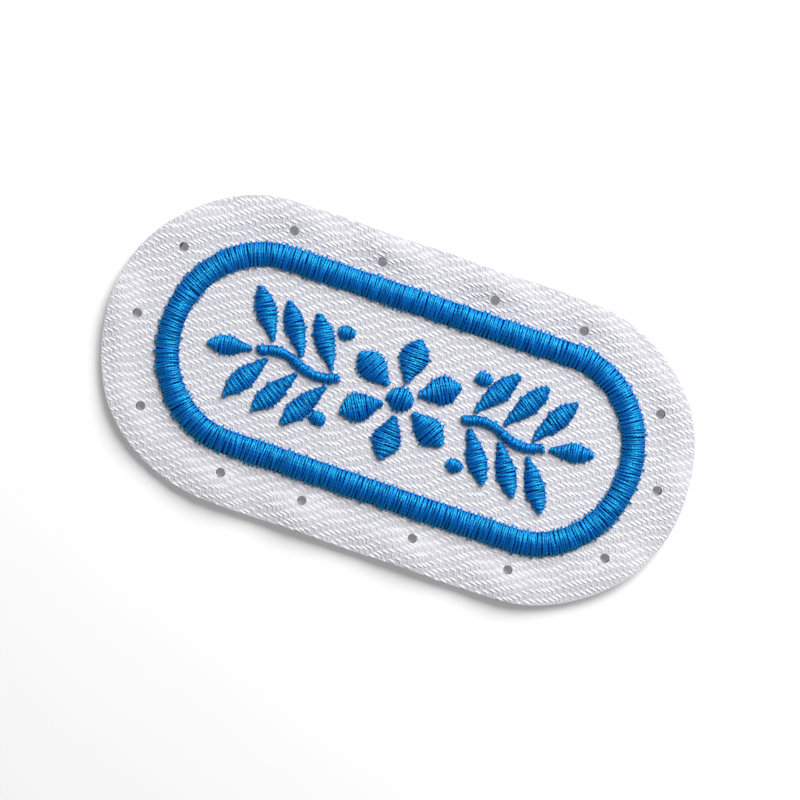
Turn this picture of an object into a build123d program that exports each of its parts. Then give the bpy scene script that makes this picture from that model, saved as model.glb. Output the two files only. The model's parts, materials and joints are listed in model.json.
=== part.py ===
from build123d import *
import os
from collections import namedtuple
from math import atan2, cos, degrees, pi, radians, sin

# Embroidered patch in millimetres. The cloth lies in the XY plane with its length along X.
# +Z is up out of the embroidered face, and the origin is under the middle of the flat back.

# Cloth
CLOTH_THICKNESS = 1.0
END_CENTRE_X = 15.0
EDGE_RADIUS = 15.1
END_FLATTENING = 0.7
CUT_WANDER = 0.13
FLAT_RADIUS = 10.9
STATIONS_PER_CREST = 8
MARGIN_RINGS = 5
CREST_PLACE = 0.7
EDGE_DROOP = 0.35
VALLEY_RISE = 0.1

# Waves of the hand-cut edge: turns per mm of the straight sides and per turn of the ends
CutWave = namedtuple("CutWave", "along round share phase")
CUT_WAVES = [
    CutWave(0.6, 2, 1.0, -1.1),
    CutWave(0.6, -6, 0.6, 2.3),
]

# Sewing holes, in order round the patch, each on a pucker of the margin
HOLE_RADIUS = 0.45
SewingHole = namedtuple("SewingHole", "x y rise")
SEWING_HOLES = [
    SewingHole(26.6, -0.1, 0.32),
    SewingHole(24.5, 7.0, 0.30),
    SewingHole(14.9, 12.2, 0.36),
    SewingHole(5.8, 12.2, 0.50),
    SewingHole(-5.7, 12.2, 0.50),
    SewingHole(-14.7, 12.3, 0.34),
    SewingHole(-24.3, 7.4, 0.31),
    SewingHole(-26.5, -0.1, 0.44),
    SewingHole(-23.3, -8.5, 0.31),
    SewingHole(-13.9, -12.1, 0.40),
    SewingHole(-5.6, -12.1, 0.48),
    SewingHole(5.7, -12.1, 0.46),
    SewingHole(15.4, -12.0, 0.42),
    SewingHole(23.9, -7.9, 0.31),
]

# Embroidery, which stands a hair clear of the cloth
SEAT_GAP = 0.03
FIELD_X = 0.25
FIELD_Y = 0.25
BORDER_END_X = 14.55
BORDER_OUTER_RADIUS = 10.47
BORDER_INNER_RADIUS = 8.15
BORDER_END_SQUASH = 0.935
BORDER_HEIGHT = 0.75

# Flower
PETALS = 6
PETAL_START = 1.75
PETAL_LENGTH = 4.3
PETAL_WIDTH = 3.3
PETAL_HEIGHT = 0.6
CENTRE_RADIUS = 1.35
CENTRE_HEIGHT = 0.7

# Sprigs, as drawn on the right; the left one is the same turned half round
STEM_START = 6.3
STEM_LENGTH = 8.3
STEM_WIDTH = 1.0
STEM_SWAY = 0.55
STEM_HEIGHT = 0.5
LEAF_LENGTH = 5.6
LEAF_WIDTH = 2.3
LEAF_HEIGHT = 0.55
LEAF_ANGLE = 58.0
LEAF_OFFSET = 0.85
LEAF_PITCH = 3.1
LEAF_PAIRS = 3
FIRST_LEAF = 0.9
TIP_LEAF_GAP = 0.3
TIP_LEAF_LENGTH = 4.4
TIP_LEAF_WIDTH = 2.2

# Buds
BUD_RADIUS = 0.85
BUD_HEIGHT = 0.5
BUD_X = 7.0
BUD_Y = 4.4

# How finely a satin column is drawn
COLUMN_SECTIONS = 7
TIP_HALF_WIDTH = 0.22
TIP_HEIGHT_SHARE = 0.55
WIDEST_POWER = 1.25
SEAT_Z = CLOTH_THICKNESS + SEAT_GAP


def save(node, solid):
    """Write one piece to its own file."""
    export_step(solid, f"parts/{node}.step")


# The cloth's outline and its puckers


def spine_and_angle(x, y):
    """The nearest point of the middle line, as its X, and the direction from there to (x, y)."""
    spine = max(-END_CENTRE_X, min(END_CENTRE_X, x))
    return spine, atan2(y, x - spine)


def perimeter_place(x, y):
    """How far round the patch a point lies, measured along the line through the holes."""
    spine, angle = spine_and_angle(x, y)
    radius = (FLAT_RADIUS + EDGE_RADIUS) / 2
    run = 2 * END_CENTRE_X
    if angle < 0:
        angle += 2 * pi
    if angle < pi / 2:
        return radius * angle
    if spine > -END_CENTRE_X and angle < pi:
        return radius * pi / 2 + END_CENTRE_X - spine
    if angle < 3 * pi / 2:
        return radius * angle + run
    if spine < END_CENTRE_X:
        return radius * 3 * pi / 2 + run + spine + END_CENTRE_X
    return radius * angle + 2 * run


def perimeter_point(place):
    """The middle line's X and the outward direction at a distance round the patch."""
    radius = (FLAT_RADIUS + EDGE_RADIUS) / 2
    run = 2 * END_CENTRE_X
    quarter = radius * pi / 2
    if place <= quarter:
        return END_CENTRE_X, place / radius
    if place <= quarter + run:
        return END_CENTRE_X - (place - quarter), pi / 2
    if place <= 3 * quarter + run:
        return -END_CENTRE_X, (place - run) / radius
    if place <= 3 * quarter + 2 * run:
        return -END_CENTRE_X + place - 3 * quarter - run, 3 * pi / 2
    return END_CENTRE_X, (place - 2 * run) / radius


def edge_radius(spine, angle):
    """Reach of the cut edge from the middle line: a touch flat at both ends, cut by hand."""
    flattening = END_FLATTENING * cos(angle) ** 2
    wander = sum(w.share * sin(w.along * spine + w.round * angle + w.phase) for w in CUT_WAVES)
    return EDGE_RADIUS - flattening + CUT_WANDER * wander


def crest_profile(share):
    """Height of a pucker's crest from the flat field (0) to the cut edge (1)."""
    if share < CREST_PLACE:
        return sin(pi / 2 * share / CREST_PLACE) ** 2
    fall = (share - CREST_PLACE) / (1 - CREST_PLACE)
    return 1 - EDGE_DROOP * sin(pi / 2 * fall) ** 2


def margin_height(share, phase, rise_here, rise_next):
    """Lift of the margin between one hole's crest (phase 0) and the next one's (phase 1)."""
    rise = rise_here if phase < 0.5 else rise_next
    crest = cos(pi * phase) ** 2
    valley = VALLEY_RISE * sin(pi * share) ** 2
    return rise * crest * crest_profile(share) + (1 - crest) * valley


def margin_stations():
    """Points of the margin, a list of rings' points for each station round the patch."""
    places = [perimeter_place(hole.x, hole.y) for hole in SEWING_HOLES]
    total = 4 * END_CENTRE_X + pi * (FLAT_RADIUS + EDGE_RADIUS)
    places[0] -= total if places[0] > total / 2 else 0
    stations = []
    for i, hole in enumerate(SEWING_HOLES):
        after = SEWING_HOLES[(i + 1) % len(SEWING_HOLES)]
        end = places[i + 1] if i + 1 < len(places) else places[0] + total
        for k in range(STATIONS_PER_CREST):
            phase = k / STATIONS_PER_CREST
            place = (places[i] + phase * (end - places[i])) % total
            spine, angle = perimeter_point(place)
            rings = []
            for j in range(MARGIN_RINGS + 1):
                share = j / MARGIN_RINGS
                reach = FLAT_RADIUS + share * (edge_radius(spine, angle) - FLAT_RADIUS)
                lift = margin_height(share, phase, hole.rise, after.rise)
                rings.append((spine + reach * cos(angle), reach * sin(angle), lift))
            stations.append(rings)
    return stations


def raised(point, height):
    """A point moved up by a height."""
    return (point[0], point[1], point[2] + height)


def polygon(*points):
    """A flat face through its corners."""
    return Face(Wire.make_polygon([Vector(*p) for p in points]))


def cloth_plate():
    """The puckered cloth as a closed shell of flat facets, before its holes."""
    stations = margin_stations()
    faces = []
    for height in (0.0, CLOTH_THICKNESS):
        faces.append(polygon(*[raised(s[0], height) for s in stations]))
    for here, after in zip(stations, stations[1:] + stations[:1]):
        for j in range(MARGIN_RINGS):
            for height in (0.0, CLOTH_THICKNESS):
                a, b = raised(here[j], height), raised(here[j + 1], height)
                c, d = raised(after[j + 1], height), raised(after[j], height)
                faces.append(polygon(a, b, c))
                faces.append(polygon(a, c, d))
        low, low_after = here[-1], after[-1]
        high, high_after = raised(low, CLOTH_THICKNESS), raised(low_after, CLOTH_THICKNESS)
        faces.append(polygon(low, low_after, high_after, high))
    return Solid(Shell(faces))


def twill_ground():
    """The cut cloth with its sewing holes."""
    depth = 3 * CLOTH_THICKNESS
    plate = cloth_plate()
    for hole in SEWING_HOLES:
        drill = Cylinder(HOLE_RADIUS, depth).moved(Location((hole.x, hole.y, CLOTH_THICKNESS / 2)))
        plate = plate.cut(drill.solid())
    return plate


# Satin columns: flat below, domed above


def dome_wire(x, y, heading, half_width, height):
    """Outline of a column's section, square to its heading in degrees."""
    side_x, side_y = -sin(radians(heading)), cos(radians(heading))
    left = (x + side_x * half_width, y + side_y * half_width, SEAT_Z)
    right = (x - side_x * half_width, y - side_y * half_width, SEAT_Z)
    top = (x, y, SEAT_Z + height)
    return Wire([ThreePointArc(left, top, right).edge(), Line(right, left).edge()])


def satin_column(sections):
    """A column through sections given as (x, y, heading, half width, height)."""
    return Solid.make_loft([dome_wire(*section) for section in sections])


def tapered_column(x, y, heading, length, width, height):
    """A straight leaf or petal, pointed at both ends and widest just past the middle."""
    dx, dy = cos(radians(heading)), sin(radians(heading))
    sections = []
    for i in range(COLUMN_SECTIONS):
        share = i / (COLUMN_SECTIONS - 1)
        swell = sin(pi * share**WIDEST_POWER)
        half_width = TIP_HALF_WIDTH + (width / 2 - TIP_HALF_WIDTH) * swell
        tall = height * (TIP_HEIGHT_SHARE + (1 - TIP_HEIGHT_SHARE) * swell)
        along = share * length
        sections.append((x + dx * along, y + dy * along, heading, half_width, tall))
    return satin_column(sections)


def round_dome(x, y, radius, height):
    """A round satin dot."""
    sphere_radius = (radius**2 + height**2) / (2 * height)
    ball = Sphere(sphere_radius).moved(Location((x, y, SEAT_Z + height - sphere_radius)))
    keep = Cylinder(radius * 1.5, height * 2).moved(Location((x, y, SEAT_Z + height)))
    return (ball & keep).solid()


def satin_border():
    """The closed border: two straight runs joined by two ends, each a touch flatter than round."""
    middle = (BORDER_OUTER_RADIUS + BORDER_INNER_RADIUS) / 2
    half_width = (BORDER_OUTER_RADIUS - BORDER_INNER_RADIUS) / 2
    section = Face(dome_wire(0, middle, 0, half_width, BORDER_HEIGHT))
    run = extrude(section, 2 * BORDER_END_X, dir=(1, 0, 0))
    end = scale(revolve(section, Axis.Z, 180), by=(BORDER_END_SQUASH, 1, 1))
    half = (run + end).moved(Location((-BORDER_END_X, 0, 0)))
    return (half + half.moved(Rotation(0, 0, 180))).solid()


# The spray in the field


def stem_point(along):
    """Place and heading on the right stem's gentle S, a distance along X from its start."""
    turn = 2 * pi / STEM_LENGTH
    y = STEM_SWAY * sin(turn * along)
    slope = STEM_SWAY * turn * cos(turn * along)
    return STEM_START + along, y, degrees(atan2(slope, 1))


def stem():
    """The right stem as sections along its curve."""
    sections = []
    for i in range(COLUMN_SECTIONS + 2):
        x, y, heading = stem_point(STEM_LENGTH * i / (COLUMN_SECTIONS + 1))
        sections.append((x, y, heading, STEM_WIDTH / 2, STEM_HEIGHT))
    return satin_column(sections)


def leaves():
    """The right sprig's leaves: pairs along the stem and one at its tip."""
    made = []
    for pair in range(LEAF_PAIRS):
        x, y, _ = stem_point(FIRST_LEAF + pair * LEAF_PITCH)
        for side in (1, -1):
            base_y = y + side * LEAF_OFFSET
            made.append(tapered_column(x, base_y, side * LEAF_ANGLE, LEAF_LENGTH, LEAF_WIDTH, LEAF_HEIGHT))
    x, y, heading = stem_point(STEM_LENGTH)
    reach = TIP_LEAF_GAP + TIP_HALF_WIDTH
    made.append(tapered_column(x + reach, y, heading / 2, TIP_LEAF_LENGTH, TIP_LEAF_WIDTH, LEAF_HEIGHT))
    return made


def in_field(solid, turn=0.0):
    """A piece drawn about the origin, turned and carried to the field's middle."""
    return solid.moved(Location((FIELD_X, FIELD_Y, 0)) * Rotation(0, 0, turn))


os.makedirs("parts", exist_ok=True)
save("twill_ground", twill_ground())
save("satin_border", in_field(satin_border()))

petal = tapered_column(PETAL_START, 0, 0, PETAL_LENGTH, PETAL_WIDTH, PETAL_HEIGHT)
for number in range(PETALS):
    save(f"petal_{number + 1}", in_field(petal, 90 + number * 360 / PETALS))
save("flower_centre", in_field(round_dome(0, 0, CENTRE_RADIUS, CENTRE_HEIGHT)))

for side, turn in (("right", 0), ("left", 180)):
    save(f"{side}_stem", in_field(stem(), turn))
    for number, leaf in enumerate(leaves(), 1):
        save(f"{side}_leaf_{number}", in_field(leaf, turn))

bud_places = [(BUD_X, BUD_Y), (-BUD_X, BUD_Y), (-BUD_X, -BUD_Y), (BUD_X, -BUD_Y)]
for number, (x, y) in enumerate(bud_places, 1):
    save(f"bud_{number}", in_field(round_dome(x, y, BUD_RADIUS, BUD_HEIGHT)))
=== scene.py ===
import json
import logging
import math
import random
from dataclasses import dataclass, field
from enum import Enum
from typing import Callable, Sequence, Union

import bmesh
import bpy
import numpy as np
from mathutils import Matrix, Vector
from mathutils.bvhtree import BVHTree

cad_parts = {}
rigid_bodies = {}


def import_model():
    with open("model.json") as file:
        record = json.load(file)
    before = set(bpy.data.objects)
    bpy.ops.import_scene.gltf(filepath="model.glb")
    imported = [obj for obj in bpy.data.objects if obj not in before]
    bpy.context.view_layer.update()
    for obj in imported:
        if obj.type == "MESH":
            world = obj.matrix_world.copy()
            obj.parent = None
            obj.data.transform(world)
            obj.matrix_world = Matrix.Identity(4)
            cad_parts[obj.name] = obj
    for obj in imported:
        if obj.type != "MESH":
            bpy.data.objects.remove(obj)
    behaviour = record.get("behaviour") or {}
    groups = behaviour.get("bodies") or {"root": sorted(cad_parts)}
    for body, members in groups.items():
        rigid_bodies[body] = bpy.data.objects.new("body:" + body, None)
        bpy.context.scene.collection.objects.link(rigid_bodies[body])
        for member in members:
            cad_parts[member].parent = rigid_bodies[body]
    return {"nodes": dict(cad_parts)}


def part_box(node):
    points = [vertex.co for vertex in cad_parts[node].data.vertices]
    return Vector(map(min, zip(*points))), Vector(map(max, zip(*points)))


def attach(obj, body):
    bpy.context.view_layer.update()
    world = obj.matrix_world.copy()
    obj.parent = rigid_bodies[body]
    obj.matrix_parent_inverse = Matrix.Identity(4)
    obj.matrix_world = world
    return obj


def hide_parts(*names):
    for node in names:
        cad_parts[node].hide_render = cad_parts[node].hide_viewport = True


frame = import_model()

# Looks of the embroidered patch, in metres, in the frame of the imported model
MM = 0.001
UP = Vector((0.0, 0.0, 1.0))
BODY = "root"

log = logging.getLogger("patch")

Colour = tuple[float, float, float]
Number = Union[float, "Value"]


class Side(Enum):
    """The two faces of the cloth."""

    FACE = 1
    BACK = -1


class Slot(Enum):
    """The record's material slots."""

    TWILL = "twill"
    THREAD = "satin_thread"


# Node trees


def step(operation: str, swapped: bool = False) -> Callable[["Value", Number], "Value"]:
    """An operator of Value that adds one step of maths to its tree.

    Args:
        operation: the Math or Vector Math operation.
        swapped: whether the value is the right operand.

    Returns:
        The operator's method.
    """

    def method(value: "Value", other: Number) -> "Value":
        """Work out the result."""
        operands = (other, value) if swapped else (value, other)
        return value.graph.combine(operation, *operands)

    return method


class Value:
    """A number or vector in a node tree, which takes part in plain expressions."""

    def __init__(self, graph: "Graph", socket: bpy.types.NodeSocket) -> None:
        """Wrap one output socket."""
        self.graph = graph
        self.socket = socket

    def other(self, output: Union[str, int]) -> "Value":
        """Another output of the same node."""
        return Value(self.graph, self.socket.node.outputs[output])

    __add__ = __radd__ = step("ADD")
    __sub__, __rsub__ = step("SUBTRACT"), step("SUBTRACT", swapped=True)
    __mul__ = __rmul__ = step("MULTIPLY")
    __truediv__, __rtruediv__ = step("DIVIDE"), step("DIVIDE", swapped=True)
    __pow__ = step("POWER")
    __mod__ = step("FLOORED_MODULO")

    def __abs__(self) -> "Value":
        """Size without its sign."""
        return self.graph.combine("ABSOLUTE", self)


class Graph:
    """A node tree that is being written."""

    def __init__(self, tree: bpy.types.NodeTree) -> None:
        """Start on an empty tree."""
        self.tree = tree

    def add(
        self,
        kind: str,
        settings: dict | None = None,
        sockets: dict | None = None,
        output: Union[str, int] = 0,
    ) -> Value:
        """Add one node.

        Args:
            kind: the node's type.
            settings: its properties, set first.
            sockets: constants or values for its inputs, by name or number; a list joins several.
            output: the output that is returned.

        Returns:
            The chosen output.
        """
        node = self.tree.nodes.new(kind)
        for name, setting in (settings or {}).items():
            setattr(node, name, setting)
        for key, content in (sockets or {}).items():
            for one in content if isinstance(content, list) else [content]:
                if isinstance(one, Value):
                    self.tree.links.new(one.socket, node.inputs[key])
                else:
                    node.inputs[key].default_value = one
        return Value(self, node.outputs[output]) if node.outputs else Value(self, node.inputs[0])

    def combine(self, operation: str, *operands: Number) -> Value:
        """One step of maths, on vectors where any operand is one.

        Args:
            operation: the Math or Vector Math operation.
            operands: plain numbers and values.

        Returns:
            The result.
        """
        vector = any(isinstance(o, Value) and o.socket.type == "VECTOR" for o in operands)
        kind = "ShaderNodeVectorMath" if vector else "ShaderNodeMath"
        sockets = {}
        for place, operand in enumerate(operands):
            plain = not isinstance(operand, (Value, tuple))
            sockets[place] = (operand,) * 3 if vector and plain else operand
        return self.add(kind, {"operation": operation}, sockets)

    def sine(self, angle: Number) -> Value:
        """Sine of an angle in radians."""
        return self.combine("SINE", angle)

    def cosine(self, angle: Number) -> Value:
        """Cosine of an angle in radians."""
        return self.combine("COSINE", angle)

    def blend(
        self, share: Number, first: Union[Colour, Value], second: Union[Colour, Value]
    ) -> Value:
        """Mix two colours.

        Args:
            share: 0 for the first colour, 1 for the second.
            first: a colour or a colour's value.
            second: the same.

        Returns:
            The mixed colour.
        """
        sockets = {0: share}
        for key, colour in ((6, first), (7, second)):
            sockets[key] = colour if isinstance(colour, Value) else (*colour, 1.0)
        return self.add("ShaderNodeMix", {"data_type": "RGBA"}, sockets, output=2)


class Recipe:
    """A Geometry Nodes tree with named inputs, run on an object and turned into a plain mesh."""

    name = "recipe"
    sizes: tuple[str, ...] = ()
    objects: tuple[str, ...] = ()
    materials: tuple[str, ...] = ()

    def __init__(self) -> None:
        """Write the tree with its inputs and its one output."""
        self.tree = bpy.data.node_groups.new(self.name, "GeometryNodeTree")
        self._socket("Geometry", "NodeSocketGeometry", "OUTPUT")
        self._socket("Geometry", "NodeSocketGeometry")
        for name in self.sizes:
            self._socket(name, "NodeSocketFloat")
        self._socket("Seed", "NodeSocketInt")
        for name in self.objects:
            self._socket(name, "NodeSocketObject")
        for name in self.materials:
            self._socket(name, "NodeSocketMaterial")
        self.graph = Graph(self.tree)
        self.input = self.graph.add("NodeGroupInput")
        made = {"Geometry": self.write()}
        realized = self.graph.add("GeometryNodeRealizeInstances", sockets=made)
        self.graph.add("NodeGroupOutput", sockets={"Geometry": realized})

    def _socket(self, name: str, kind: str, way: str = "INPUT") -> None:
        """Declare one input or output of the tree."""
        self.tree.interface.new_socket(name, in_out=way, socket_type=kind)

    def given(self, name: str) -> Value:
        """The tree's input of that name."""
        return self.input.other(name)

    def write(self) -> Value:
        """Write the nodes between input and output, and return the geometry that they make."""
        raise NotImplementedError

    def upward(self, height: Number) -> Value:
        """A vector straight up, of that length."""
        return self.graph.add("ShaderNodeCombineXYZ", sockets={2: height})

    def moved(self, geometry: Value, place: Value) -> Value:
        """A geometry with its points put at a place that is worked out for each."""
        sockets = {"Geometry": geometry, "Position": place}
        return self.graph.add("GeometryNodeSetPosition", sockets=sockets)

    def keep(self, geometry: Value, name: str, content: Value) -> Value:
        """Store a value on the points of a geometry under a name."""
        kind = "FLOAT_VECTOR" if content.socket.type == "VECTOR" else "FLOAT"
        return self.graph.add(
            "GeometryNodeStoreNamedAttribute",
            {"data_type": kind, "domain": "POINT"},
            {"Geometry": geometry, "Name": name, "Value": content},
        )

    def kept(self, name: str, kind: str = "FLOAT") -> Value:
        """Read a value that was stored under a name."""
        settings = {"data_type": kind}
        return self.graph.add("GeometryNodeInputNamedAttribute", settings, {"Name": name})

    def dressed(self, body: Value, material: str) -> Value:
        """A geometry with the material that the tree's input of that name gives."""
        sockets = {"Geometry": body, "Material": self.given(material)}
        return self.graph.add("GeometryNodeSetMaterial", sockets=sockets)

    def random(self, lowest: Number, highest: Number, number: Value, draw: int) -> Value:
        """A random number for each thing that is counted.

        Args:
            lowest: the least that it may be.
            highest: the most.
            number: which thing it is; equal numbers give equal results.
            draw: a different whole number for each use in the tree.

        Returns:
            The random number.
        """
        seed = self.given("Seed") + float(draw)
        sockets = {2: lowest, 3: highest, "ID": number, "Seed": seed}
        return self.graph.add("FunctionNodeRandomValue", {"data_type": "FLOAT"}, sockets, output=1)

    def strand(
        self, curves: Value, width: Number, height: Number, taper: Number, sides: int
    ) -> Value:
        """Give curves the body of a flattened thread.

        Args:
            curves: the threads' middle lines.
            width: the body's width.
            height: its height.
            taper: the share of its full size along each curve.
            sides: faces round it.

        Returns:
            The mesh, shaded smooth, with the place round the thread kept in ring_x and ring_y.
        """
        add = self.graph.add
        circle = {"Resolution": sides, "Radius": 1.0}
        ring = add("GeometryNodeCurvePrimitiveCircle", {"mode": "RADIUS"}, circle)
        place = add("ShaderNodeSeparateXYZ", sockets={0: add("GeometryNodeInputPosition")})
        ring = self.keep(ring, "ring_x", place)
        ring = self.keep(ring, "ring_y", place.other(1))
        size = add("ShaderNodeCombineXYZ", sockets={0: width * 0.5, 1: height * 0.5, 2: 1.0})
        ring = add("GeometryNodeTransform", sockets={"Geometry": ring, "Scale": size})
        level = add("GeometryNodeSetCurveNormal", {"mode": "Z_UP"}, {"Curve": curves})
        body = add(
            "GeometryNodeCurveToMesh",
            sockets={"Curve": level, "Profile Curve": ring, "Scale": taper, "Fill Caps": True},
        )
        return add("GeometryNodeSetShadeSmooth", sockets={"Geometry": body})


class SatinStitches(Recipe):
    """Zigzag stitches across a column, over a dome of padding.

    The column's middle line holds each point's half_width and crown. Each thread is three plies
    that wind round each other. Two threads share each hole at the column's edge, so its sides
    show teeth.
    """

    name = "satin_stitches"
    sizes = ("Pitch", "Ply Width", "Ply Height", "Twist", "Dip", "Raggedness")
    sizes += ("Padding Share", "Padding Reach")
    materials = ("Thread", "Padding")

    STITCH_POINTS = 12
    STITCH_SIDES = 4
    PLIES = 3
    PLY_OFFSET = 0.08 * MM
    PLY_FLATNESS = 0.8
    ZIGZAG_POWER = 3.5
    PADDING_POINTS = 9
    PADDING_STEP = 0.4 * MM
    DOME_POWER = 0.8
    THREAD_TIP = 0.12
    TIP_POWER = 5.0
    SECOND_PASS = 0.05 * MM
    UNEVEN_HEIGHT = 0.04 * MM
    STRAY = 0.3
    SLANT = 0.7
    SKEW = 0.28

    def over(self, across: Value, reach: Number, crown: Number, along: Number) -> Value:
        """A point over the column.

        Args:
            across: -1 at the right edge to 1 at the left one.
            reach: half of the width there.
            crown: the height in the middle.
            along: how far it is set forward.

        Returns:
            The place.
        """
        dome = (1.0 - across * across) ** self.DOME_POWER
        rise = self.upward(dome * crown - self.given("Dip"))
        sideways = self.kept("side", "FLOAT_VECTOR") * (across * reach)
        forward = self.kept("heading", "FLOAT_VECTOR") * along
        return self.kept("centre", "FLOAT_VECTOR") + sideways + forward + rise

    def directions(self, curve: Value) -> Value:
        """Keep each point's place, heading and side on the column's middle line."""
        add = self.graph.add
        heading = add("GeometryNodeInputTangent")
        side = self.graph.combine("CROSS_PRODUCT", (0.0, 0.0, 1.0), heading)
        side = self.graph.combine("NORMALIZE", side)
        curve = self.keep(curve, "centre", add("GeometryNodeInputPosition"))
        curve = self.keep(curve, "heading", heading)
        return self.keep(curve, "side", side)

    def resampled(self, curve: Value, step: Number) -> Value:
        """A curve divided in even steps."""
        return self.graph.add(
            "GeometryNodeResampleCurve", {"mode": "LENGTH"}, {"Curve": curve, "Length": step}
        )

    def crossing_line(self, points: int) -> Value:
        """A line that holds the place across the column, closer together at its edges."""
        add = self.graph.add
        ends = {"Start": (-1.0, 0.0, 0.0), "End": (1.0, 0.0, 0.0)}
        line = add("GeometryNodeCurvePrimitiveLine", {"mode": "POINTS"}, ends)
        line = add("GeometryNodeResampleCurve", {"mode": "COUNT"}, {"Curve": line, "Count": points})
        place = add("ShaderNodeSeparateXYZ", sockets={0: add("GeometryNodeInputPosition")})
        return self.keep(line, "across", self.graph.sine(place * (math.pi / 2)))

    def write(self) -> Value:
        """Write the tree."""
        add = self.graph.add
        column = add("GeometryNodeMeshToCurve", sockets={"Mesh": self.given("Geometry")})
        parts = [self.threads(column), self.padding(column)]
        return add("GeometryNodeJoinGeometry", sockets={0: parts})

    def threads(self, column: Value) -> Value:
        """The stitches themselves."""
        add = self.graph.add
        rows = self.directions(self.resampled(column, self.given("Pitch")))
        number = add("GeometryNodeInputIndex")
        ragged = self.given("Raggedness")
        right_hole = self.graph.combine("FLOOR", (number + 1.0) * 0.5)
        left_hole = self.graph.combine("FLOOR", number * 0.5)
        rows = self.keep(rows, "lean", 1.0 - (number % 2.0) * 2.0)
        rows = self.keep(rows, "right_reach", self.random(ragged * -1.0, ragged, right_hole, 1))
        rows = self.keep(rows, "left_reach", self.random(ragged * -1.0, ragged, left_hole, 2))
        rows = self.keep(rows, "tone", self.random(0.0, 1.0, number, 3))
        spreads = (self.UNEVEN_HEIGHT, self.STRAY, self.SLANT, self.SKEW)
        for draw, (name, spread) in enumerate(zip(("rise", "stray", "slant", "skew"), spreads), 4):
            rows = self.keep(rows, name, self.random(-spread, spread, number, draw))
        starts = add("GeometryNodeCurveToPoints", {"mode": "EVALUATED"}, {"Curve": rows})
        plies = {"Geometry": starts, "Amount": self.PLIES}
        starts = add("GeometryNodeDuplicateElements", {"domain": "POINT"}, plies)
        ply_turn = starts.other("Duplicate Index") * (2 * math.pi / self.PLIES)
        starts = self.keep(starts, "ply", ply_turn)
        line = self.crossing_line(self.STITCH_POINTS)
        stitches = add("GeometryNodeInstanceOnPoints", sockets={"Points": starts, "Instance": line})
        stitches = add("GeometryNodeRealizeInstances", sockets={"Geometry": stitches})
        across = self.kept("across")
        leftward = self.graph.combine("GREATER_THAN", across, 0.0)
        extra = self.kept("left_reach") * leftward + self.kept("right_reach") * (1.0 - leftward)
        reach = self.kept("half_width") + extra * abs(across)
        pitch = self.given("Pitch")
        middle = 1.0 - across * across
        swell = middle**0.5
        zigzag = self.kept("lean") * 0.5 * across * abs(across) ** self.ZIGZAG_POWER
        wander = (self.kept("stray") + self.kept("slant") * across) * middle
        turn = across * self.kept("half_width") * (2 * math.pi) / self.given("Twist")
        turn = turn + self.kept("tone") * (2 * math.pi) + self.kept("ply")
        apart = swell * self.PLY_OFFSET
        along = (zigzag + wander) * pitch + apart * self.graph.cosine(turn)
        crown = self.kept("crown") + self.given("Dip") - self.given("Ply Height") * 0.5
        crown = crown + self.kept("rise") + self.kept("lean") * self.SECOND_PASS
        skew = self.kept("skew") * across * middle * crown
        rise = apart * self.PLY_FLATNESS * self.graph.sine(turn) + skew
        place = self.over(across, reach, crown, along) + self.upward(rise)
        stitches = self.moved(stitches, place)
        stitches = self.keep(stitches, "along", across * self.kept("half_width"))
        taper = 1.0 - abs(across) ** self.TIP_POWER * (1.0 - self.THREAD_TIP)
        width, height = self.given("Ply Width"), self.given("Ply Height")
        body = self.strand(stitches, width, height, taper, self.STITCH_SIDES)
        return self.dressed(body, "Thread")

    def padding(self, column: Value) -> Value:
        """The padding under the stitches."""
        add = self.graph.add
        rows = self.directions(self.resampled(column, self.PADDING_STEP))
        line = self.crossing_line(self.PADDING_POINTS)
        closed = add("GeometryNodeSetSplineCyclic", sockets={"Geometry": line, "Cyclic": True})
        body = add(
            "GeometryNodeCurveToMesh",
            sockets={"Curve": rows, "Profile Curve": closed, "Scale": 1.0 * MM, "Fill Caps": True},
        )
        share = self.given("Padding Share")
        crown = (self.kept("crown") + self.given("Dip")) * share
        reach = self.kept("half_width") * self.given("Padding Reach")
        place = self.over(self.kept("across"), reach, crown, 0.0)
        body = self.moved(body, place)
        body = add("GeometryNodeSetShadeSmooth", sockets={"Geometry": body})
        return self.dressed(body, "Padding")


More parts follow.
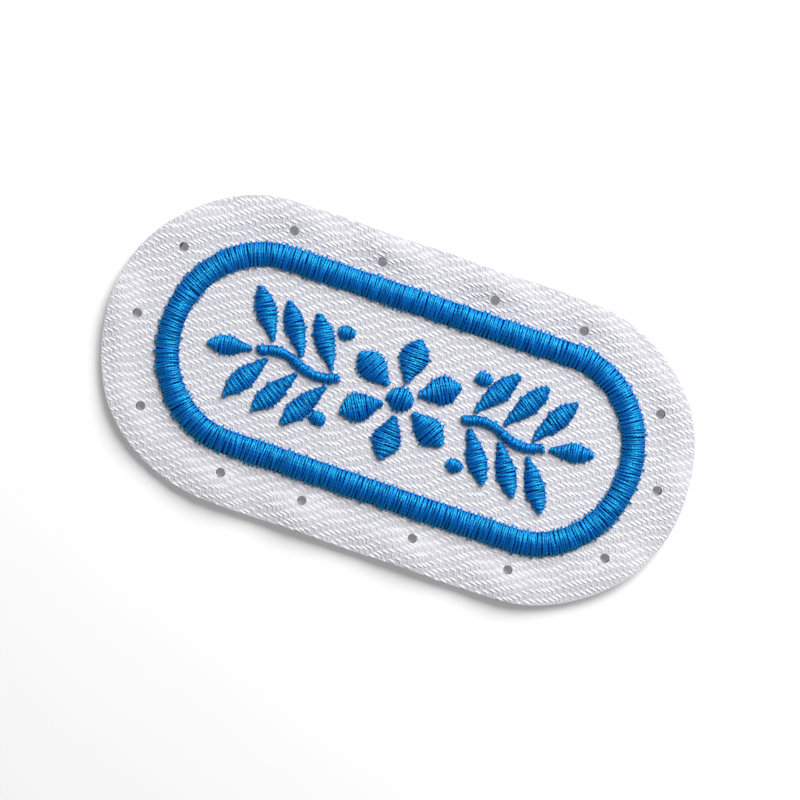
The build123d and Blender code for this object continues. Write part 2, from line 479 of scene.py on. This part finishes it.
class WovenFloats(Recipe):
    """Threads that lie over a few others in the weave, one for each edge of a plan.

    Each float follows the cloth under it and dives into it at both ends.
    """

    name = "woven_loops"
    sizes = ("Width", "Height", "Sink", "Dive", "Away")
    objects = ("Cloth",)
    materials = ("Yarn",)

    FLOAT_POINTS = 6
    FLOAT_SIDES = 5
    DIVE_POWER = 4.0
    FLOAT_TIP = 0.6
    PROBE_HEIGHT = 5.0 * MM
    PROBE_REACH = 20.0 * MM

    def write(self) -> Value:
        """Write the tree."""
        add = self.graph.add
        lines = add("GeometryNodeMeshToCurve", sockets={"Mesh": self.given("Geometry")})
        number = add("GeometryNodeInputIndex")
        lines = add(
            "GeometryNodeStoreNamedAttribute",
            {"data_type": "FLOAT", "domain": "CURVE"},
            {"Geometry": lines, "Name": "tone", "Value": self.random(0.0, 1.0, number, 1)},
        )
        count = {"Curve": lines, "Count": self.FLOAT_POINTS}
        lines = add("GeometryNodeResampleCurve", {"mode": "COUNT"}, count)
        away = self.given("Away")
        spot = add("GeometryNodeInputPosition")
        source = spot + self.upward(away * self.PROBE_HEIGHT)
        cloth = {0: self.given("Cloth")}
        target = add("GeometryNodeObjectInfo", {"transform_space": "RELATIVE"}, cloth, "Geometry")
        hit = add(
            "GeometryNodeRaycast",
            {"data_type": "FLOAT"},
            {
                "Target Geometry": target,
                "Source Position": source,
                "Ray Direction": self.upward(away * -1.0),
                "Ray Length": self.PROBE_REACH,
            },
            "Hit Position",
        )
        factor = add("GeometryNodeSplineParameter") * 2.0 - 1.0
        dive = abs(factor) ** self.DIVE_POWER
        depth = (self.given("Sink") + self.given("Dive") * dive) * away * -1.0
        lines = self.moved(lines, hit + self.upward(depth))
        lines = self.keep(lines, "along", factor)
        taper = 1.0 - dive * (1.0 - self.FLOAT_TIP)
        width, height = self.given("Width"), self.given("Height")
        body = self.strand(lines, width, height, taper, self.FLOAT_SIDES)
        return self.dressed(body, "Yarn")


# Meshes


@dataclass(frozen=True)
class Station:
    """A crossing of a satin column: its middle, half its width and its height there."""

    centre: Vector
    half_width: float
    crown: float


class CadShape:
    """The surface of a CAD node, for measuring."""

    SAME_CROSSING = 2e-6

    def __init__(self, node: str) -> None:
        """Read the node's triangles."""
        mesh = frame["nodes"][node].data
        self.points = [vertex.co.copy() for vertex in mesh.vertices]
        self.faces = [tuple(polygon.vertices) for polygon in mesh.polygons]
        self.surface = BVHTree.FromPolygons(self.points, self.faces)
        self.low, self.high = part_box(node)

    def hits(self, start: Vector, direction: Vector, reach: float) -> list[float]:
        """Distances along a ray at which it crosses the surface.

        Args:
            start: where the ray begins.
            direction: its unit direction.
            reach: how far it goes.

        Returns:
            The distances, nearest first.
        """
        found, gone = [], 0.0
        while gone < reach:
            origin = start + direction * gone
            spot, _, _, distance = self.surface.ray_cast(origin, direction, reach - gone)
            if spot is None:
                break
            gone += distance
            found.append(gone)
            gone += self.SAME_CROSSING
        return found

    def holds(self, spot: Vector) -> bool:
        """Whether a spot is inside the solid."""
        return len(self.hits(spot, UP, self.high.z)) % 2 == 1

    def room(self, spot: Vector, direction: Vector, reach: float) -> float:
        """How far a ray gets before it meets the surface, up to its reach."""
        return min(self.hits(spot, direction, reach)[:1] + [reach])

    def long_axis(self) -> Vector:
        """Horizontal direction along which the solid is longest."""
        plan = np.array([(p.x, p.y) for p in self.points])
        spread = np.cov((plan - plan.mean(axis=0)).T)
        _, directions = np.linalg.eigh(spread)
        return Vector((directions[0, 1], directions[1, 1], 0.0)).normalized()


def plan_mesh(
    name: str, points: Sequence[Vector], edges: Sequence[tuple[int, int]]
) -> bpy.types.Mesh:
    """A mesh of edges alone."""
    mesh = bpy.data.meshes.new(name)
    mesh.from_pydata([tuple(p) for p in points], list(edges), [])
    return mesh


def linked_object(name: str, mesh: bpy.types.Mesh) -> bpy.types.Object:
    """An object at the origin that shows a mesh."""
    made = bpy.data.objects.new(name, mesh)
    bpy.context.scene.collection.objects.link(made)
    return made


def cooked(name: str, plan: bpy.types.Mesh, recipe: Recipe, given: dict) -> bpy.types.Object:
    """Run a recipe on a plan and keep its result as a plain mesh.

    Args:
        name: the finished piece's name.
        plan: the mesh that the tree starts from.
        recipe: the tree.
        given: its inputs by name.

    Returns:
        The piece, with no modifier left.
    """
    piece = linked_object(name, plan)
    modifier = piece.modifiers.new("recipe", "NODES")
    modifier.node_group = recipe.tree
    for item in recipe.tree.interface.items_tree:
        if item.item_type == "SOCKET" and item.in_out == "INPUT" and item.name in given:
            modifier[item.identifier] = given[item.name]
    bpy.context.view_layer.update()
    depsgraph = bpy.context.evaluated_depsgraph_get()
    baked = bpy.data.meshes.new_from_object(
        piece.evaluated_get(depsgraph), preserve_all_data_layers=True, depsgraph=depsgraph
    )
    piece.modifiers.clear()
    piece.data = baked
    baked.name = name
    return piece


def hand_over(piece: bpy.types.Object, slot: Slot) -> None:
    """Fix a finished piece to the body and log its triangles."""
    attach(piece, BODY)
    piece.data.calc_loop_triangles()
    log.info("%s: %d triangles", piece.name, len(piece.data.loop_triangles))


# Finishes


class Finish:
    """A material that is made once, when it is first asked for."""

    FIBRE_COUNT = 2.5
    TONE_STEP = 90.0
    name = "finish"

    def material(self) -> bpy.types.Material:
        """The Blender material."""
        made = bpy.data.materials.get(self.name)
        if made is None:
            made = bpy.data.materials.new(self.name)
            made.use_nodes = True
            made.node_tree.nodes.clear()
            graph = Graph(made.node_tree)
            surface = graph.add("ShaderNodeBsdfPrincipled", sockets=self.write(graph))
            graph.add("ShaderNodeOutputMaterial", sockets={"Surface": surface})
        return made

    def write(self, graph: Graph) -> dict:
        """Write the nodes that feed the shader, and return its sockets by name."""
        raise NotImplementedError

    @staticmethod
    def attribute(graph: Graph, name: str) -> Value:
        """A number stored on the mesh."""
        return graph.add("ShaderNodeAttribute", {"attribute_name": name}, output="Fac")

    @staticmethod
    def noise(graph: Graph, vector: Value, scale: float, detail: float = 2.0) -> Value:
        """Noise between 0 and 1 with a number of lumps to the metre."""
        sockets = {"Vector": vector, "Scale": scale, "Detail": detail}
        return graph.add("ShaderNodeTexNoise", sockets=sockets)

    @staticmethod
    def place(graph: Graph) -> Value:
        """The place on the piece, in metres."""
        return graph.add("ShaderNodeTexCoord", output="Object")

    def fibres(self, graph: Graph, ring_x: Value, ring_y: Value, along: Value) -> Value:
        """Noise drawn out along a thread and different on each.

        Args:
            graph: the material's tree.
            ring_x: the place round the thread, from side to side.
            ring_y: the same from bottom to top.
            along: the place along it, in lumps of the noise.

        Returns:
            A value between 0 and 1.
        """
        apart = self.attribute(graph, "tone") * self.TONE_STEP
        sockets = {0: ring_x * self.FIBRE_COUNT, 1: ring_y * self.FIBRE_COUNT, 2: along + apart}
        return self.noise(graph, graph.add("ShaderNodeCombineXYZ", sockets=sockets), 1.0)

    @staticmethod
    def bump(
        graph: Graph, height: Value, strength: float, distance: float, normal: Value | None = None
    ) -> Value:
        """Relief from a height between 0 and 1, on the surface's own normal or on a given one."""
        sockets = {"Strength": strength, "Distance": distance, "Height": height}
        if normal is not None:
            sockets["Normal"] = normal
        return graph.add("ShaderNodeBump", sockets=sockets)


@dataclass(frozen=True)
class ThreadFinish(Finish):
    """Glossy ply of polyester filaments, which wind round it."""

    name: str = "blue_thread"
    deep: Colour = (0.0, 0.02, 0.36)
    bright: Colour = (0.002, 0.14, 0.8)
    sheen: Colour = (0.06, 0.9, 0.88)
    refraction: float = 2.3
    roughness: float = 0.35
    winding: float = 5000.0
    strokes: float = 1800.0
    relief: float = 0.03 * MM
    tone_share: float = 0.5
    fibre_share: float = 2.0
    least_bright: float = 0.25
    roughening: float = 0.15

    def write(self, graph: Graph) -> dict:
        """Blue that varies from stitch to stitch, with wound filaments."""
        along = self.attribute(graph, "along")
        tone = self.attribute(graph, "tone")
        turn = along * self.winding
        ring_x, ring_y = self.attribute(graph, "ring_x"), self.attribute(graph, "ring_y")
        cosine, sine = graph.cosine(turn), graph.sine(turn)
        wound_x = ring_x * cosine + ring_y * sine
        wound_y = ring_y * cosine - ring_x * sine
        fibres = self.fibres(graph, wound_x, wound_y, along * self.strokes)
        share = tone * self.tone_share + (fibres - 0.5) * self.fibre_share + self.least_bright
        colour = graph.blend(share, self.deep, self.bright)
        return {
            "Base Color": colour,
            "Roughness": self.roughness + fibres * self.roughening,
            "IOR": self.refraction,
            "Specular IOR Level": 1.0,
            "Specular Tint": (*self.sheen, 1.0),
            "Normal": self.bump(graph, fibres, 1.0, self.relief),
        }


@dataclass(frozen=True)
class PaddingFinish(Finish):
    """Thread of the padding, between the stitches, in a blue darker than theirs as painted shade.
    """

    name: str = "padding_thread"
    # The padding thread's own blue, darkened as painted shade of the gaps between stitches.
    colour: Colour = (0.0, 0.035, 0.3)
    darkest: float = 0.7
    lumps: float = 4000.0
    relief: float = 0.05 * MM

    def write(self, graph: Graph) -> dict:
        """Dark blue, partly painted shade, roughened."""
        lumps = self.noise(graph, self.place(graph), self.lumps)
        colour = graph.blend(lumps, tuple(self.darkest * c for c in self.colour), self.colour)
        return {
            "Base Color": colour,
            "Roughness": 0.7,
            "Specular IOR Level": 0.0,
            "Normal": self.bump(graph, lumps, 0.6, self.relief),
        }


@dataclass(frozen=True)
class YarnFinish(Finish):
    """White spun yarn of the twill's floats."""

    name: str = "white_yarn"
    shade: Colour = (0.78, 0.775, 0.805)
    light: Colour = (0.88, 0.875, 0.9)
    relief: float = 0.01 * MM
    flattening: float = 0.5
    strokes: float = 1.5
    dirt_lumps: float = 180.0
    shares: tuple[float, float, float] = (0.45, 0.35, 0.2)
    roughness: float = 0.6
    roughening: float = 0.15

    def flat_normal(self, graph: Graph) -> Value:
        """The surface's normal, less steep, as fuzz evens out the light on a yarn."""
        normal = graph.add("ShaderNodeNewGeometry", output="Normal")
        level = graph.combine("MULTIPLY", normal, (self.flattening, self.flattening, 1.0))
        return graph.combine("NORMALIZE", level)

    def write(self, graph: Graph) -> dict:
        """White that varies from float to float, with fibres along the yarn."""
        tone = self.attribute(graph, "tone")
        along = self.attribute(graph, "along")
        ring_x, ring_y = self.attribute(graph, "ring_x"), self.attribute(graph, "ring_y")
        fibres = self.fibres(graph, ring_x, ring_y, along * self.strokes)
        dirt = self.noise(graph, self.place(graph), self.dirt_lumps)
        by_tone, by_fibres, by_dirt = self.shares
        share = tone * by_tone + fibres * by_fibres + dirt * by_dirt
        colour = graph.blend(share, self.shade, self.light)
        return {
            "Base Color": colour,
            "Roughness": self.roughness + fibres * self.roughening,
            "Specular IOR Level": 0.3,
            "Normal": self.bump(graph, fibres, 1.0, self.relief, self.flat_normal(graph)),
        }


@dataclass(frozen=True)
class CrossYarnShadeFinish(YarnFinish):
    """The yarn that crosses under the floats, between their ribs: the white yarn darkened as
    painted shade.
    """

    name: str = "cross_yarn"
    # A darker copy of the white yarn's tones: painted shade.
    shade: Colour = (0.58, 0.575, 0.62)
    light: Colour = (0.7, 0.695, 0.735)


@dataclass(frozen=True)
class GroundFinish(Finish):
    """The deep part of the weave, between the floats, and the cut edge, coloured darker than the
    white yarn as painted shade.
    """

    name: str = "weave_ground"
    # Both tones sit below the white yarn's: the ground is darkened as painted shade of the weave's
    # depths.
    shade: Colour = (0.58, 0.57, 0.625)
    light: Colour = (0.74, 0.73, 0.78)
    across_rows: tuple[float, float, float] = (0.194, 0.981, 0.0)
    row_pitch: float = 0.355 * MM
    layer_pitch: float = 0.25 * MM
    lumps: float = 2500.0
    shares: tuple[float, float, float] = (0.35, 0.25, 0.4)
    relief: float = 0.03 * MM

    @staticmethod
    def ripples(graph: Graph, place: Value, pitch: float) -> Value:
        """Even waves between 0 and 1, a pitch apart."""
        return graph.sine(place * (2 * math.pi / pitch)) * 0.5 + 0.5

    def write(self, graph: Graph) -> dict:
        """Lavender grey, ribbed along the rows and, on the cut edge, by its layers, with the
        grooves painted darker as painted shade.
        """
        place = self.place(graph)
        across = graph.combine("DOT_PRODUCT", place, self.across_rows).other("Value")
        level = graph.add("ShaderNodeSeparateXYZ", sockets={0: place}).other(2)
        ribs = self.ripples(graph, across, self.row_pitch)
        layers = self.ripples(graph, level, self.layer_pitch)
        lumps = self.noise(graph, place, self.lumps)
        by_ribs, by_layers, by_lumps = self.shares
        height = ribs * by_ribs + layers * by_layers + lumps * by_lumps
        # Painted shade: the colour follows the same heights as the bump, darker in the grooves; the
        # lumps add random tone.
        colour = graph.blend(height, self.shade, self.light)
        return {
            "Base Color": colour,
            "Roughness": 0.9,
            "Specular IOR Level": 0.2,
            "Normal": self.bump(graph, height, 0.8, self.relief),
        }


@dataclass(frozen=True)
class HoleShadeFinish(Finish):
    """The inside wall of a sewing hole, painted dark grey as shade in the hole."""

    name: str = "punched_rim"
    # Painted shade: dark grey that darkens the hole.
    colour: Colour = (0.2, 0.19, 0.21)

    def write(self, graph: Graph) -> dict:
        """Matt dark grey, painted shade."""
        return {"Base Color": (*self.colour, 1.0), "Roughness": 0.9, "Specular IOR Level": 0.1}


@dataclass(frozen=True)
class FloorFinish(Finish):
    """Plain pale paper under the patch."""

    name: str = "pale_floor"
    colour: Colour = (0.95, 0.95, 0.95)
    darkest: float = 0.99
    lumps: float = 60.0
    glow: float = 0.12

    def write(self, graph: Graph) -> dict:
        """Near white and matt, lit a little from below, with the faintest grain."""
        grain = self.noise(graph, self.place(graph), self.lumps)
        colour = graph.blend(grain, tuple(self.darkest * c for c in self.colour), self.colour)
        return {
            "Base Color": colour,
            "Roughness": 1.0,
            "Specular IOR Level": 0.0,
            "Emission Color": (1.0, 1.0, 1.0, 1.0),
            "Emission Strength": self.glow,
        }


# Cloth


@dataclass(frozen=True)
class WeaveSet:
    """One set of yarn loops that repeats over a face of the cloth.

    Rows run at row_angle, row_pitch apart, with a loop each repeat, and each row is set on by
    row_shift. A loop lies at loop_angle, and its middle is set off along its row and across it.
    """

    name: str
    side: Side
    row_angle: float
    row_pitch: float
    repeat: float
    row_shift: float
    loop_angle: float
    length: float
    width: float
    yarn: YarnFinish
    set_along: float = 0.0
    set_across: float = 0.0


@dataclass
class TwillCloth:
    """The white twill: its ground sheet and the yarn loops of both faces."""

    UPRIGHT = 0.5
    RIM_REACH = 1.1
    SAME_SPOT = 1e-6
    CLIP_STARTS = (0.0, -0.8, 0.8)
    PLAN_SEED = 5
    LOOP_SEED = 3

    node: str = "twill_ground"
    flat_width: float = 58.9 * MM
    flat_length: float = 30.3 * MM
    cut_area: float = 1580 * MM * MM
    loop_layer: float = 0.08 * MM
    loop_height: float = 0.06 * MM
    loop_sink: float = 0.08 * MM
    loop_dive: float = 0.06 * MM
    row_angle: float = math.radians(-11.2)
    row_pitch: float = 0.355 * MM
    repeat: float = 1.428 * MM
    row_shift: float = 0.404 * MM
    float_length: float = 0.95 * MM
    float_width: float = 0.27 * MM
    back_widening: float = 1.2
    knuckle_angle: float = math.radians(-62)
    knuckle_length: float = 0.52 * MM
    knuckle_width: float = 0.2 * MM
    knuckle_along: float = 0.76 * MM
    knuckle_across: float = 0.07 * MM
    probe_level: float = 0.75 * MM
    wander: float = 0.11 * MM
    wander_turns: tuple[float, float, float] = (900.0, 1300.0, 2100.0)
    wander_across: float = 0.8
    jitter: float = 0.03 * MM
    edge_inset: float = 0.03 * MM
    shortest_loop: float = 0.2 * MM
    sharp_angle: float = math.radians(40)
    hole_radius: float = 0.45 * MM
    hole_cuts: int = 3
    holes: tuple[tuple[float, float], ...] = (
        (26.6, -0.1), (24.5, 7.0), (14.9, 12.2), (5.8, 12.2), (-5.7, 12.2),
        (-14.7, 12.3), (-24.3, 7.4), (-26.5, -0.1), (-23.3, -8.5), (-13.9, -12.1),
        (-5.6, -12.1), (5.7, -12.1), (15.4, -12.0), (23.9, -7.9),
    )
    ground: GroundFinish = field(default_factory=GroundFinish)
    hole_shade: HoleShadeFinish = field(default_factory=HoleShadeFinish)
    yarn: YarnFinish = field(default_factory=YarnFinish)
    cross_yarn: CrossYarnShadeFinish = field(default_factory=CrossYarnShadeFinish)

    def __post_init__(self) -> None:
        """Read the cloth's surface."""
        self.shape = CadShape(self.node)

    def weave_sets(self) -> list[WeaveSet]:
        """The long floats and short knuckles of the face, and the cross yarns of the back."""
        rows = (self.row_angle, self.row_pitch, self.repeat, self.row_shift)
        floats = (self.row_angle, self.float_length, self.float_width, self.yarn)
        # The knuckles take the darkened yarn, painted shade between the floats.
        knuckles = (self.knuckle_angle, self.knuckle_length, self.knuckle_width, self.cross_yarn)
        back_width = self.float_width * self.back_widening
        back = (self.row_angle + math.pi / 2, self.float_length, back_width, self.yarn)
        set_off = (self.knuckle_along, self.knuckle_across)
        return [
            WeaveSet("face_floats", Side.FACE, *rows, *floats),
            WeaveSet("face_knuckles", Side.FACE, *rows, *knuckles, *set_off),
            WeaveSet("back_floats", Side.BACK, *rows, *back),
        ]

    def ground_sheet(self) -> bpy.types.Object:
        """The sheet under the loops, thinner than the cloth by one layer of loops on each face."""
        shell = bmesh.new()
        corners = [shell.verts.new(point) for point in self.shape.points]
        for face in self.shape.faces:
            shell.faces.new([corners[i] for i in face])
        bmesh.ops.remove_doubles(shell, verts=shell.verts, dist=self.SAME_SPOT)
        bmesh.ops.recalc_face_normals(shell, faces=shell.faces)
        facing = math.cos(self.sharp_angle)
        moves = {}
        for corner in shell.verts:
            level = [face.normal.z for face in corner.link_faces]
            if max(level) > facing:
                moves[corner] = -self.loop_layer
            elif min(level) < -facing:
                moves[corner] = self.loop_layer
        for corner, move in moves.items():
            corner.co.z += move
        for hole in self.holes:
            self.round_off(shell, Vector((hole[0] * MM, hole[1] * MM, 0.0)))
        bmesh.ops.triangulate(shell, faces=[face for face in shell.faces if len(face.verts) > 4])
        mesh = bpy.data.meshes.new("twill_sheet")
        shell.to_mesh(mesh)
        shell.free()
        mesh.shade_smooth()
        mesh.set_sharp_from_angle(angle=self.sharp_angle)
        mesh.materials.append(self.ground.material())
        mesh.materials.append(self.hole_shade.material())
        # The upright walls round the holes take the dark grey of painted shade.
        for face in mesh.polygons:
            upright = abs(face.normal.z) < self.UPRIGHT
            face.material_index = int(upright and self.in_hole(face.center))
        return linked_object("twill_sheet", mesh)

    def in_hole(self, spot: Vector) -> bool:
        """Whether a spot lies within a sewing hole, its wall included."""
        reach = self.hole_radius * self.RIM_REACH
        return any(math.hypot(spot.x - x * MM, spot.y - y * MM) < reach for x, y in self.holes)

    def round_off(self, shell: bmesh.types.BMesh, centre: Vector) -> None:
        """Give a sewing hole's rims more corners, all on its circle."""

        def out(corner: bmesh.types.BMVert) -> Vector:
            """From the hole's axis to a corner, level."""
            return (corner.co - centre).to_2d().to_3d()

        def on_rim(edge: bmesh.types.BMEdge) -> bool:
            """Whether an edge is part of a rim, not a wall's upright."""
            first, second = map(out, edge.verts)
            near = max(first.length, second.length) < self.hole_radius * self.RIM_REACH
            level = any(abs(face.normal.z) > self.UPRIGHT for face in edge.link_faces)
            return near and level and (first - second).length > self.SAME_SPOT

        rims = [edge for edge in shell.edges if on_rim(edge)]
        made = bmesh.ops.subdivide_edges(shell, edges=rims, cuts=self.hole_cuts)
        for corner in made["geom_inner"]:
            if isinstance(corner, bmesh.types.BMVert):
                reach = out(corner)
                corner.co += reach.normalized() * (self.hole_radius - reach.length)

    def clipped(
        self, middle: Vector, direction: Vector, length: float
    ) -> tuple[float, float] | None:
        """The stretch of a loop that lies inside the cut edge and clear of the holes.

        Args:
            middle: the loop's middle, level with the probe.
            direction: the direction along it.
            length: its whole length.

        Returns:
            Distances from the middle to both ends, or None where too little is left.
        """
        half = length / 2
        for share in self.CLIP_STARTS:
            start = middle + direction * (half * share)
            if not self.shape.holds(start):
                continue
            ahead = self.shape.room(start, direction, length) - self.edge_inset
            behind = self.shape.room(start, -direction, length) - self.edge_inset
            here, there = max(-half, half * share - behind), min(half, half * share + ahead)
            if there - here >= self.shortest_loop:
                return here, there
        return None

    def plan(self, weave: WeaveSet) -> bpy.types.Mesh:
        """A mesh with one edge for each loop of a set."""
        row = Vector((math.cos(weave.row_angle), math.sin(weave.row_angle), 0.0))
        up = UP.cross(row)
        direction = Vector((math.cos(weave.loop_angle), math.sin(weave.loop_angle), 0.0))
        reach = (self.shape.high - self.shape.low).length / 2
        middle = (self.shape.high + self.shape.low) / 2
        middle.z = self.probe_level
        rows, columns = math.ceil(reach / weave.row_pitch), math.ceil(reach / weave.repeat)
        points, edges = [], []
        chance = random.Random(self.PLAN_SEED)
        for number in range(-rows, rows + 1):
            offset = (number * weave.row_shift) % weave.repeat + weave.set_along
            for step in range(-columns - 1, columns + 1):
                spot = middle + up * (number * weave.row_pitch + weave.set_across)
                spot += row * (offset + step * weave.repeat)
                if not self.in_box(spot, weave.length):
                    continue
                spot += self.strayed(spot)
                spot += row * chance.gauss(0, self.jitter) + up * chance.gauss(0, self.jitter / 2)
                ends = self.clipped(spot, direction, weave.length)
                if ends is not None:
                    edges.append((len(points), len(points) + 1))
                    points.extend(spot + direction * end for end in ends)
        return plan_mesh(weave.name, points, edges)

    def strayed(self, spot: Vector) -> Vector:
        """How far the weave is pulled out of line at a spot, smoothly from place to place."""
        first, second, third = self.wander_turns
        along = math.sin(spot.x * second + math.sin(spot.y * first) * 2)
        along += math.sin(spot.y * third + spot.x * first)
        across = math.sin(spot.x * third + 1) + math.sin(spot.y * second + spot.x * first + 2)
        return Vector((along, across * self.wander_across, 0.0)) * self.wander

    def in_box(self, spot: Vector, margin: float) -> bool:
        """Whether a spot is within the cloth's box, give or take a margin."""
        low, high = self.shape.low, self.shape.high
        return all(low[i] - margin < spot[i] < high[i] + margin for i in range(2))

    def loops(self, recipe: WovenFloats, weave: WeaveSet) -> bpy.types.Object:
        """The yarn loops of one set."""
        given = {
            "Width": weave.width,
            "Height": self.loop_height,
            "Sink": self.loop_sink,
            "Dive": self.loop_dive,
            "Away": float(weave.side.value),
            "Seed": self.LOOP_SEED,
            "Cloth": frame["nodes"][self.node],
            "Yarn": weave.yarn.material(),
        }
        return cooked(weave.name, self.plan(weave), recipe, given)

    def build(self, recipe: WovenFloats) -> None:
        """Make the cloth and hand it over to the frame."""
        sheet = self.ground_sheet()
        loops = [self.loops(recipe, weave) for weave in self.weave_sets()]
        for piece in (sheet, *loops):
            hand_over(piece, Slot.TWILL)
        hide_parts(self.node)


# Embroidery


@dataclass
class SatinWork:
    """All satin stitching: how the thread lies, and the column under each CAD piece."""

    pitch: float = 0.219 * MM
    ply_width: float = 0.17 * MM
    ply_height: float = 0.13 * MM
    twist: float = 0.9 * MM
    dip: float = 0.09 * MM
    raggedness: float = 0.16 * MM
    padding_share: float = 0.76
    padding_reach: float = 0.86
    station_step: float = 0.3 * MM
    fewest_stations: int = 4
    probe_lift: float = 0.03 * MM
    probe_reach: float = 6 * MM
    border_node: str = "satin_border"
    cloth_node: str = "twill_ground"
    border_band: float = 2.32 * MM
    border_spread: float = 1.17
    border_shift: float = 0.07 * MM
    border_squash: float = 0.935
    border_arc_steps: int = 60
    thread: ThreadFinish = field(default_factory=ThreadFinish)
    padding: PaddingFinish = field(default_factory=PaddingFinish)

    def border_stations(self) -> list[Station]:
        """The border's closed middle line: two straight runs and two ends, a touch flat."""
        low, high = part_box(self.border_node)
        middle = (low + high) / 2
        reach = (high.y - low.y) / 2
        straight = (high.x - low.x) / 2 - reach * self.border_squash
        radius = reach - self.border_band / 2
        made = []
        for end in (0, 1):
            for step in range(self.border_arc_steps + 1):
                angle = math.pi * (step / self.border_arc_steps - 0.5 + end)
                across, up = math.cos(angle) * self.border_squash, math.sin(angle)
                centre = Vector((middle.x, middle.y, low.z)) + Vector((across, up, 0.0)) * radius
                centre.x += straight * (1 - 2 * end)
                centre.y += self.border_shift * up
                half_width = self.border_band / 2 * self.border_spread * math.hypot(across, up)
                made.append(Station(centre, half_width, high.z - low.z))
        return made

    def column_stations(self, shape: CadShape, axis: Vector) -> list[Station]:
        """The middle line of a leaf, petal, stem or dot, measured on its solid.

        Args:
            shape: the CAD piece.
            axis: the direction along the column.

        Returns:
            Its stations from one end to the other.
        """
        side = UP.cross(axis)
        middle = (shape.low + shape.high) / 2
        places = [(point - middle).dot(axis) for point in shape.points]
        first, last = min(places), max(places)
        count = max(self.fewest_stations, round((last - first) / self.station_step))
        made = []
        for step in range(count):
            along = first + (last - first) * (step + 0.5) / count
            spot = middle + axis * along
            spot.z = shape.low.z + self.probe_lift
            crossed = shape.hits(spot - side * self.probe_reach, side, 2 * self.probe_reach)
            if len(crossed) < 2:
                continue
            right, left = crossed[0], crossed[-1]
            centre = spot + side * ((left + right) / 2 - self.probe_reach)
            above = centre + UP * self.probe_reach
            drop = shape.hits(above, -UP, 2 * self.probe_reach)[0]
            centre.z = shape.low.z
            made.append(Station(centre, (left - right) / 2, above.z - drop - shape.low.z))
        return made

    def stitched(
        self, recipe: SatinStitches, node: str, stations: Sequence[Station], closed: bool
    ) -> None:
        """Make the stitches of one piece and hand them over to the frame.

        Args:
            recipe: the stitches' tree.
            node: the CAD node that they stand for.
            stations: the column's middle line.
            closed: whether the column joins its own start.
        """
        count = len(stations)
        edges = [(i, (i + 1) % count) for i in range(count if closed else count - 1)]
        plan = plan_mesh(f"{node}_stitches", [s.centre for s in stations], edges)
        for name in ("half_width", "crown"):
            numbers = [getattr(s, name) for s in stations]
            plan.attributes.new(name, "FLOAT", "POINT").data.foreach_set("value", numbers)
        given = {name: getattr(self, name.lower().replace(" ", "_")) for name in recipe.sizes}
        given |= {
            "Seed": sum(map(ord, node)),
            "Thread": self.thread.material(),
            "Padding": self.padding.material(),
        }
        piece = cooked(plan.name, plan, recipe, given)
        hand_over(piece, Slot.THREAD)
        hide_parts(node)

    def build(self, recipe: SatinStitches) -> None:
        """Stitch the border and every motif."""
        self.stitched(recipe, self.border_node, self.border_stations(), closed=True)
        motifs = sorted(set(frame["nodes"]) - {self.border_node, self.cloth_node})
        for node in motifs:
            shape = CadShape(node)
            round_dot = node.startswith("bud") or node.endswith("centre")
            axis = Vector((1, 0, 0)) if round_dot else shape.long_axis()
            self.stitched(recipe, node, self.column_stations(shape, axis), closed=False)


# Studio


@dataclass
class Studio:
    """Floor, lights and the camera that looks straight down on the turned patch."""

    turn: float = math.radians(18.9)
    aim: tuple[float, float] = (0.234 * MM, 0.152 * MM)
    frame_width: float = 77.3 * MM
    lens: float = 100.0
    sensor: float = 36.0
    face_level: float = 1.0 * MM
    floor_half: float = 0.6
    floor_drop: float = 0.02 * MM
    world_strength: float = 0.2
    key_power: float = 1.85
    key_size: float = 0.26
    key_distance: float = 0.35
    key_elevation: float = math.radians(41)
    key_heading: float = math.radians(72)
    floor_finish: FloorFinish = field(default_factory=FloorFinish)

    def floor(self) -> None:
        """The pale floor that the patch lies on."""
        half, level = self.floor_half, -self.floor_drop
        corners = [(x * half, y * half, level) for x, y in ((-1, -1), (1, -1), (1, 1), (-1, 1))]
        mesh = bpy.data.meshes.new("pale_floor")
        mesh.from_pydata(corners, [], [(0, 1, 2, 3)])
        mesh.materials.append(self.floor_finish.material())
        linked_object("pale_floor", mesh)

    def camera(self) -> None:
        """The photograph's view."""
        data = bpy.data.cameras.new("photo_camera")
        data.lens = self.lens
        data.sensor_width = self.sensor
        data.clip_start = 1 * MM
        seen = bpy.data.objects.new("photo_camera", data)
        distance = self.frame_width * self.lens / self.sensor
        seen.location = (*self.aim, self.face_level + distance)
        seen.rotation_euler = (0.0, 0.0, self.turn)
        bpy.context.scene.collection.objects.link(seen)
        bpy.context.scene.camera = seen

    def lights(self) -> None:
        """One soft key light and an even surround."""
        data = bpy.data.lights.new("key_light", "AREA")
        data.energy = self.key_power
        data.size = self.key_size
        key = bpy.data.objects.new("key_light", data)
        level, rise = math.cos(self.key_elevation), math.sin(self.key_elevation)
        forward, sideways = math.cos(self.key_heading), math.sin(self.key_heading)
        away = Vector((forward * level, sideways * level, rise))
        key.location = away * self.key_distance
        key.rotation_euler = away.to_track_quat("Z", "Y").to_euler()
        bpy.context.scene.collection.objects.link(key)
        world = bpy.data.worlds.new("studio")
        world.use_nodes = True
        world.node_tree.nodes.clear()
        graph = Graph(world.node_tree)
        white = {"Color": (1.0, 1.0, 1.0, 1.0), "Strength": self.world_strength}
        surround = graph.add("ShaderNodeBackground", sockets=white)
        graph.add("ShaderNodeOutputWorld", sockets={"Surface": surround})
        bpy.context.scene.world = world
        bpy.context.scene.view_settings.view_transform = "Standard"

    def build(self) -> None:
        """Set the scene round the patch."""
        self.camera()
        self.floor()
        self.lights()


def main() -> None:
    """Build the patch's looks."""
    logging.basicConfig(level=logging.INFO, format="%(message)s")
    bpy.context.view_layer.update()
    Studio().build()
    TwillCloth().build(WovenFloats())
    SatinWork().build(SatinStitches())


if __name__ == "__main__":
    main()
